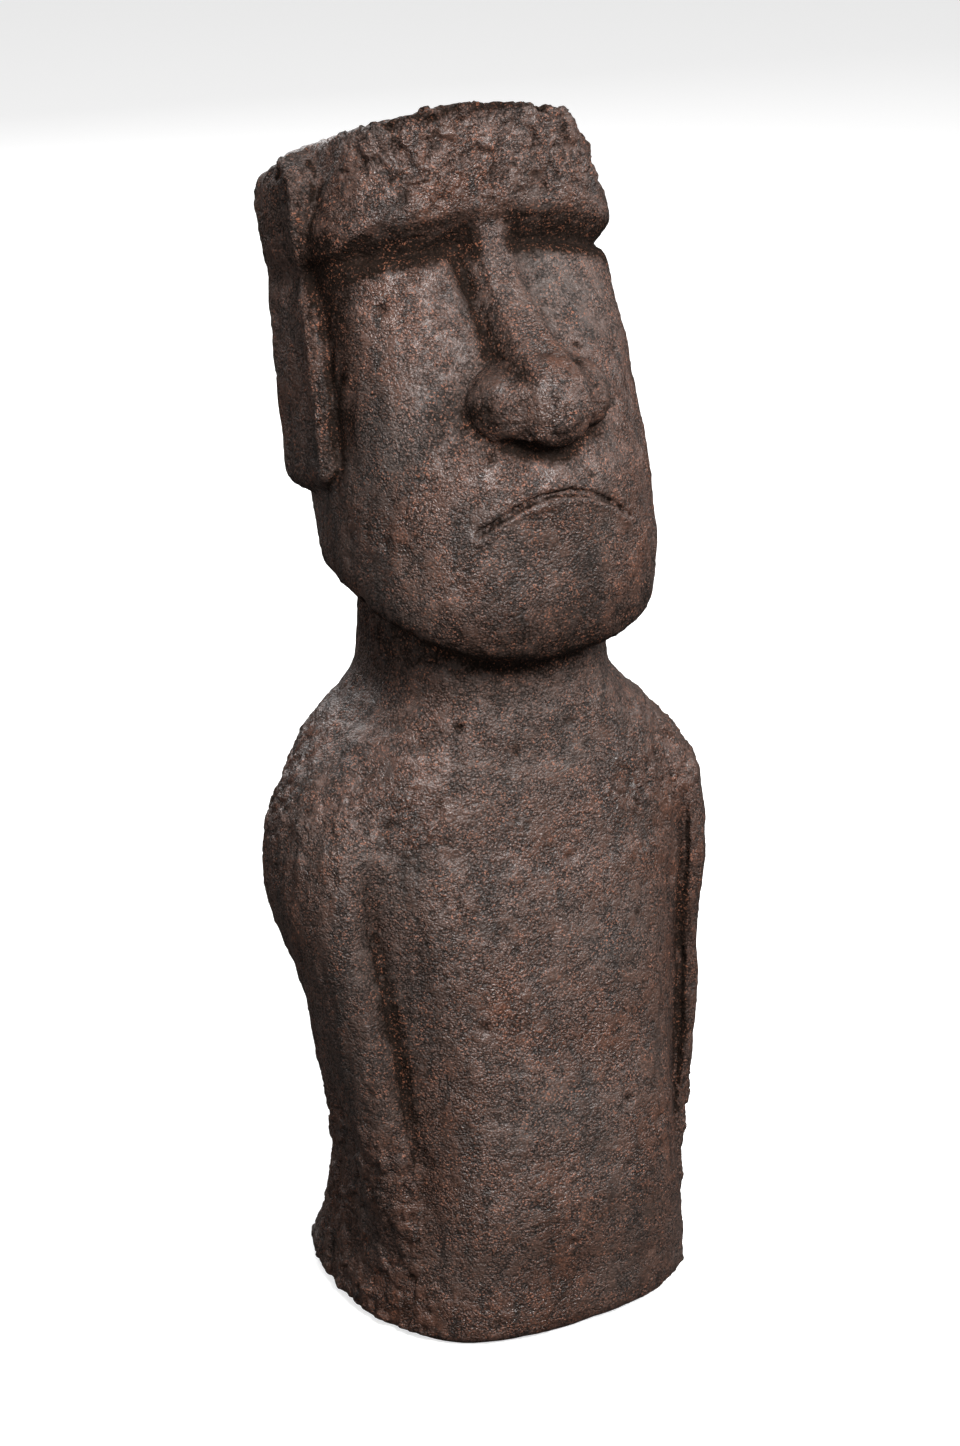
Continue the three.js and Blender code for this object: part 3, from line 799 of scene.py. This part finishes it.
class Shader:
    """The nodes of a material or a world, with one method that makes every node."""

    def __init__(self, owner):
        self.owner = owner
        owner.use_nodes = True
        self.tree = owner.node_tree
        self.tree.nodes.clear()

    def node(self, kind, settings=None, inputs=None, output=0):
        node = self.tree.nodes.new(kind)
        for key, value in (settings or {}).items():
            setattr(node, key, value)
        for key, value in (inputs or {}).items():
            socket = node.inputs[key]
            if isinstance(value, Value):
                self.tree.links.new(value.socket, socket)
            elif isinstance(value, tuple) and socket.type == "RGBA":
                socket.default_value = (*value, 1)
            else:
                socket.default_value = value
        return None if output is None else Value(self, node.outputs[output])

    def attribute(self, name):
        return self.node("ShaderNodeAttribute", {"attribute_name": name}, output="Fac")

    def place(self, upward=1.0):
        """Places on the statue; below 1, upward draws a pattern out in height."""
        where = self.node("ShaderNodeTexCoord", output="Object")
        return self.node("ShaderNodeMapping", {}, {"Vector": where, "Scale": (1, 1, upward)})

    def noise(self, where, scale, detail, rough=0.55, distortion=0.0, output=0):
        return self.node(
            "ShaderNodeTexNoise", {},
            {"Vector": where, "Scale": scale, "Detail": detail, "Roughness": rough,
             "Distortion": distortion}, output,
        )

    def mix(self, factor, first, second):
        return self.node("ShaderNodeMix", {"data_type": "RGBA"}, {0: factor, 6: first, 7: second}, 2)

    def surface(self, inputs):
        return self.node("ShaderNodeBsdfPrincipled", {}, inputs)

    def finish(self, shader, kind="ShaderNodeOutputMaterial"):
        self.node(kind, {}, {"Surface": shader}, output=None)
        return self.owner


def cast_coat(settings):
    """Dark waxed coat over a gritty terracotta body, with shade painted into its colour."""
    s = Shader(bpy.data.materials.new("dark_waxed_cast"))
    where = s.place()
    hollow, shade, under, pooled_shade = (s.attribute(name) for name in FACTS)
    coat_dark, soot_and_shade = tuple(settings.coat_dark), tuple(settings.soot_and_shade)

    # Patterns, from the broadest to the finest.
    patches = s.noise(where, PER_METRE["patches"], 3)
    streaks = s.noise(s.place(0.14), PER_METRE["streaks"], 4, 0.62)
    flecked = s.noise(where, PER_METRE["flecked"], 4, 0.7)
    mottle = s.noise(where, PER_METRE["mottle"], 4, 0.65)
    dashes = s.noise(s.place(0.35), PER_METRE["dashes"], 3, 0.6)
    ridges = s.noise(where, PER_METRE["ridges"], 3, 0.6, 1.2) - 0.5
    lumps = s.noise(where, PER_METRE["lumps"], 3, 0.6, 0.4)
    flecks = s.noise(where, PER_METRE["flecks"], 2, 0.6, 0.8)
    grain = s.noise(where, PER_METRE["grain"], 2, 0.6)
    jitter = s.noise(where, PER_METRE["jitter"], 2, 0.5, output="Color")
    shifted = s.node(
        "ShaderNodeVectorMath", {"operation": "MULTIPLY_ADD"}, {0: jitter, 1: (JITTER_REACH,) * 3, 2: where}
    )
    crumbs = s.node(
        "ShaderNodeTexVoronoi", {}, {"Vector": shifted, "Scale": PER_METRE["crumbs"]}, "Distance"
    )

    # Brown and grey coat, rubbed thin on the crumbs and dark in streaks, dashes and cracks.
    crack = (1 - (ridges * ridges).step(0.0, 0.0006)) * mottle.step(0.42, 0.6)
    gritty = mottle.step(0.34, 0.56) * 0.7 + 0.3
    low = (crumbs + (0.5 - lumps) * 0.8).step(0.42, 0.68) * gritty
    high = (1 - crumbs.step(0.1, 0.4)) * grain.step(0.36, 0.6)
    dashed = dashes.step(0.58, 0.66) * (1 - patches.step(0.4, 0.7) * 0.6)
    coat = s.mix(
        (patches * 2.4 - 0.7).clamp(), tuple(settings.coat_brown), tuple(settings.coat_grey)
    )
    coat = s.mix(high * mottle.step(0.3, 0.6) * 0.7, coat, tuple(settings.clay_dull))
    coat = s.mix(streaks.step(0.48, 0.66) * 0.6, coat, coat_dark)
    coat = s.mix(dashed * 0.8, coat, coat_dark)
    coat = s.mix((low * 0.7 + crack * 0.75).clamp(), coat, soot_and_shade)

    # Painted shade in the hollows, on the undersides and in the painted zones, with a noisy edge to it.
    deep = hollow.step(0.1, 0.5) * 0.8 + shade.step(0.3, 0.95) * 0.5 + under.step(0.4, 0.85) * 0.7
    shade_ragging = (lumps - 0.5) * 1.6 + (mottle - 0.5) * 1.2
    deep = (deep + pooled_shade * 1.15 + shade_ragging * (0.25 + pooled_shade)).clamp()
    coat = s.mix(deep * 0.95, coat, soot_and_shade)

    # Flecks of bare clay, held back in the hollows and where shade is painted deep.
    fleck = flecks.step(0.52, 0.6) * (1 - crumbs.step(0.3, 0.6))
    fleck = fleck * (flecked.step(0.42, 0.64) * 0.85 + 0.15 + pooled_shade * 0.3)
    fleck = fleck * (1 - hollow.step(0.35, 0.8) * 0.8) * (1 - deep * 0.3)
    coat = s.mix((fleck * 0.75).clamp(), coat, tuple(settings.clay_bright))

    rough = 0.34 + (grain - 0.5) * 0.5 + (patches - 0.5) * 0.6 + fleck * 0.3 + low * 0.15
    height = lumps * 0.55 - crumbs * gritty * 0.34 + grain * 0.12 - crack * 0.1
    bump = s.node(
        "ShaderNodeBump", {}, {"Strength": 1.0, "Distance": settings.grain_height, "Height": height}
    )
    waxed = s.surface({
        "IOR": 1.5, "Specular IOR Level": 0.5, "Roughness": (rough + deep * 0.4).clamp(),
        "Base Color": coat, "Normal": bump,
    })
    # A matte shader with next to no reflection, mixed in where shade is painted and a little on the grit's
    # low spots.
    matte_soot_and_shade = s.surface({
        "IOR": 1.5, "Specular IOR Level": 0.06, "Roughness": 0.9, "Base Color": coat, "Normal": bump,
    })
    dull = (deep * 0.9 + low * 0.35).clamp()
    return s.finish(s.node("ShaderNodeMixShader", {}, {0: dull, 1: waxed, 2: matte_soot_and_shade}))


# ------------------------------------------------------------------ settings

def colour(name, description, default):
    return bpy.props.FloatVectorProperty(
        name=name, description=description, subtype="COLOR", size=3, min=0, max=1, default=default
    )


def length(name, description, default):
    return bpy.props.FloatProperty(
        name=name, description=description, default=default, min=0, unit="LENGTH", subtype="DISTANCE",
        precision=5,
    )


def power(name, description, default):
    return bpy.props.FloatProperty(
        name=name, description=description, default=default, min=0, unit="POWER"
    )


def brightness(name, description, default):
    return bpy.props.FloatProperty(name=name, description=description, default=default, min=0)


class MoaiFigureSettings(bpy.types.PropertyGroup):
    """Grain and colours of the figure"""

    grain: length("Grain", "Spacing of the carved surface's points", 1.15 * MM)
    coat_brown: colour("Brown coat", "Waxed coat where it is warm", (0.070, 0.031, 0.020))
    coat_grey: colour("Grey coat", "Waxed coat where it is cool", (0.056, 0.038, 0.031))
    coat_dark: colour("Dark coat", "Streaks and dashes in the coat", (0.016, 0.011, 0.009))
    clay_dull: colour("Dull clay", "Clay that shows faintly through the coat", (0.15, 0.066, 0.042))
    clay_bright: colour("Bright clay", "Grit rubbed bare of its coat", (0.27, 0.102, 0.056))
    # Near black: the grit's cracks and low spots, and the painted shade in hollows and under things.
    soot_and_shade: colour("Soot", "Darkness in the deep hollows", (0.008, 0.005, 0.0035))
    grain_height: length("Grain height", "Height of the fine grit", 2.0 * MM)


class MoaiStudioSettings(bpy.types.PropertyGroup):
    """Lights, floor and camera of the studio"""

    key_power: power("Key light", "Power of the key light", 98)
    fill_power: power("Fill lights", "Power of each fill light", 14)
    rim_power: power("Side light", "Power of the side light", 20)
    back_power: power("Back light", "Power of the light behind the statue", 38)
    air_above: brightness("Air above", "Brightness of the air above the floor", 0.15)
    air_below: brightness("Air below", "Brightness of what the floor throws back", 0.05)
    floor_colour: colour("Floor", "Colour of the studio floor", (0.6, 0.6, 0.6))
    floor_glow: brightness("Floor glow", "Own light of the lit-through floor", 0.62)
    eye_distance: length("Camera distance", "Camera to the statue's axis, level", 1.6)
    eye_height: length("Camera height", "Camera above the floor", 0.93)
    eye_turn: bpy.props.FloatProperty(
        name="Camera turn", description="How far the camera stands to the statue's right",
        default=math.radians(31), subtype="ANGLE", unit="ROTATION",
    )
    lens: bpy.props.FloatProperty(
        name="Lens", description="Focal length of the camera", default=89.3776, min=1, unit="CAMERA"
    )


# ------------------------------------------------------------------ operators

class MOAI_OT_build_figure(bpy.types.Operator):
    """Carve the figure's surface and give it its coat"""

    bl_idname = "moai.build_figure"
    bl_label = "Build figure"

    def execute(self, context):
        settings = context.scene.moai_figure
        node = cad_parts["moai_figure"]
        grain = settings.grain / MM
        obj = carve_figure(node, "moai_body", grain)
        for name, column in zip(FACTS, surface_facts(obj.data).T):
            put_attribute(obj.data, name, column)
        obj.data.polygons.foreach_set("use_smooth", np.ones(len(obj.data.polygons), bool))
        obj.data.materials.clear()
        obj.data.materials.append(cast_coat(settings))
        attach(obj, "root")
        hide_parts("moai_figure")
        return {"FINISHED"}


def soft_light(name, watts, size, turn, height):
    """A square light facing the statue, with its turn to the statue's left and its height in degrees."""
    data = bpy.data.lights.new(name, "AREA")
    data.size = size
    data.energy = watts
    light = bpy.data.objects.new(name, data)
    bpy.context.scene.collection.objects.link(light)
    turn, height = math.radians(turn), math.radians(height)
    level = LIGHT_DISTANCE * math.cos(height)
    light.location = Vector((
        math.sin(turn) * level, -math.cos(turn) * level, LIGHT_TARGET.z + LIGHT_DISTANCE * math.sin(height)
    ))
    light.rotation_euler = (LIGHT_TARGET - light.location).to_track_quat("-Z", "Y").to_euler()


class MOAI_OT_build_studio(bpy.types.Operator):
    """Set the floor, the soft lights and the camera"""

    bl_idname = "moai.build_studio"
    bl_label = "Build studio"

    def execute(self, context):
        settings = context.scene.moai_studio
        bm = bmesh.new()
        bmesh.ops.create_grid(bm, x_segments=1, y_segments=1, size=FLOOR_HALF_SIZE)
        mesh = bpy.data.meshes.new("studio_floor")
        bm.to_mesh(mesh)
        bm.free()
        floor = bpy.data.objects.new("studio_floor", mesh)
        context.scene.collection.objects.link(floor)
        pale = Shader(bpy.data.materials.new("pale_floor"))
        mesh.materials.append(pale.finish(pale.surface({
            "Base Color": tuple(settings.floor_colour), "Roughness": 0.9,
            "Emission Color": (1, 1, 1), "Emission Strength": settings.floor_glow,
        })))
        floor.visible_diffuse = False
        floor.visible_glossy = False

        soft_light("key", settings.key_power, 0.8, 0, 42)
        soft_light("front", settings.fill_power, 1.3, -20, 8)
        soft_light("right_side", settings.rim_power, 1.2, 78, 20)
        soft_light("left_side", settings.fill_power, 1.2, -105, 25)
        soft_light("top", settings.fill_power, 1.4, 0, 88)
        soft_light("back", settings.back_power, 1.6, 170, 30)

        air = Shader(bpy.data.worlds.new("studio_air"))
        direction = air.node("ShaderNodeTexCoord", output="Generated")
        level = air.node("ShaderNodeSeparateXYZ", {}, {0: direction}, "Z")
        strength = air.node("ShaderNodeMapRange", {}, {
            "Value": level, "From Min": -0.15, "From Max": 0.1,
            "To Min": settings.air_below, "To Max": settings.air_above,
        })
        glow = air.node("ShaderNodeBackground", {}, {"Color": (1, 1, 1), "Strength": strength})
        context.scene.world = air.finish(glow, "ShaderNodeOutputWorld")
        context.scene.view_settings.view_transform = "Standard"

        camera_data = bpy.data.cameras.new("studio_camera")
        camera_data.sensor_fit = "AUTO"
        camera_data.sensor_width = FRAME_HEIGHT_MM
        camera_data.lens = settings.lens
        camera_data.clip_start, camera_data.clip_end = 0.05, 60
        camera = bpy.data.objects.new("studio_camera", camera_data)
        context.scene.collection.objects.link(camera)
        turn, back, height = settings.eye_turn, settings.eye_distance, settings.eye_height
        pitch = math.atan2(height - AIM_HEIGHT, back)
        heading = turn + AIM_TURN
        forward = Vector((
            math.sin(heading) * math.cos(pitch), math.cos(heading) * math.cos(pitch), -math.sin(pitch)
        ))
        camera.location = (-math.sin(turn) * back, -math.cos(turn) * back, height)
        camera.rotation_euler = forward.to_track_quat("-Z", "Y").to_euler()
        context.scene.camera = camera
        return {"FINISHED"}


class MOAI_PT_sidebar(bpy.types.Panel):
    """Sizes, colours and steps of the statue"""

    bl_label = "Moai Statue"
    bl_idname = "MOAI_PT_sidebar"
    bl_space_type = "VIEW_3D"
    bl_region_type = "UI"
    bl_category = "Moai"

    def draw(self, context):
        layout = self.layout
        for group in (context.scene.moai_figure, context.scene.moai_studio):
            for name in group.__annotations__:
                layout.prop(group, name)
        layout.operator(MOAI_OT_build_figure.bl_idname)
        layout.operator(MOAI_OT_build_studio.bl_idname)


CLASSES = (
    MoaiFigureSettings, MoaiStudioSettings, MOAI_OT_build_figure, MOAI_OT_build_studio,
    MOAI_PT_sidebar,
)


def register():
    for cls in CLASSES:
        bpy.utils.register_class(cls)
    bpy.types.Scene.moai_figure = bpy.props.PointerProperty(type=MoaiFigureSettings)
    bpy.types.Scene.moai_studio = bpy.props.PointerProperty(type=MoaiStudioSettings)


def unregister():
    del bpy.types.Scene.moai_studio
    del bpy.types.Scene.moai_figure
    for cls in reversed(CLASSES):
        bpy.utils.unregister_class(cls)


def main():
    register()
    bpy.ops.moai.build_figure()
    bpy.ops.moai.build_studio()


if __name__ == "__main__":
    main()
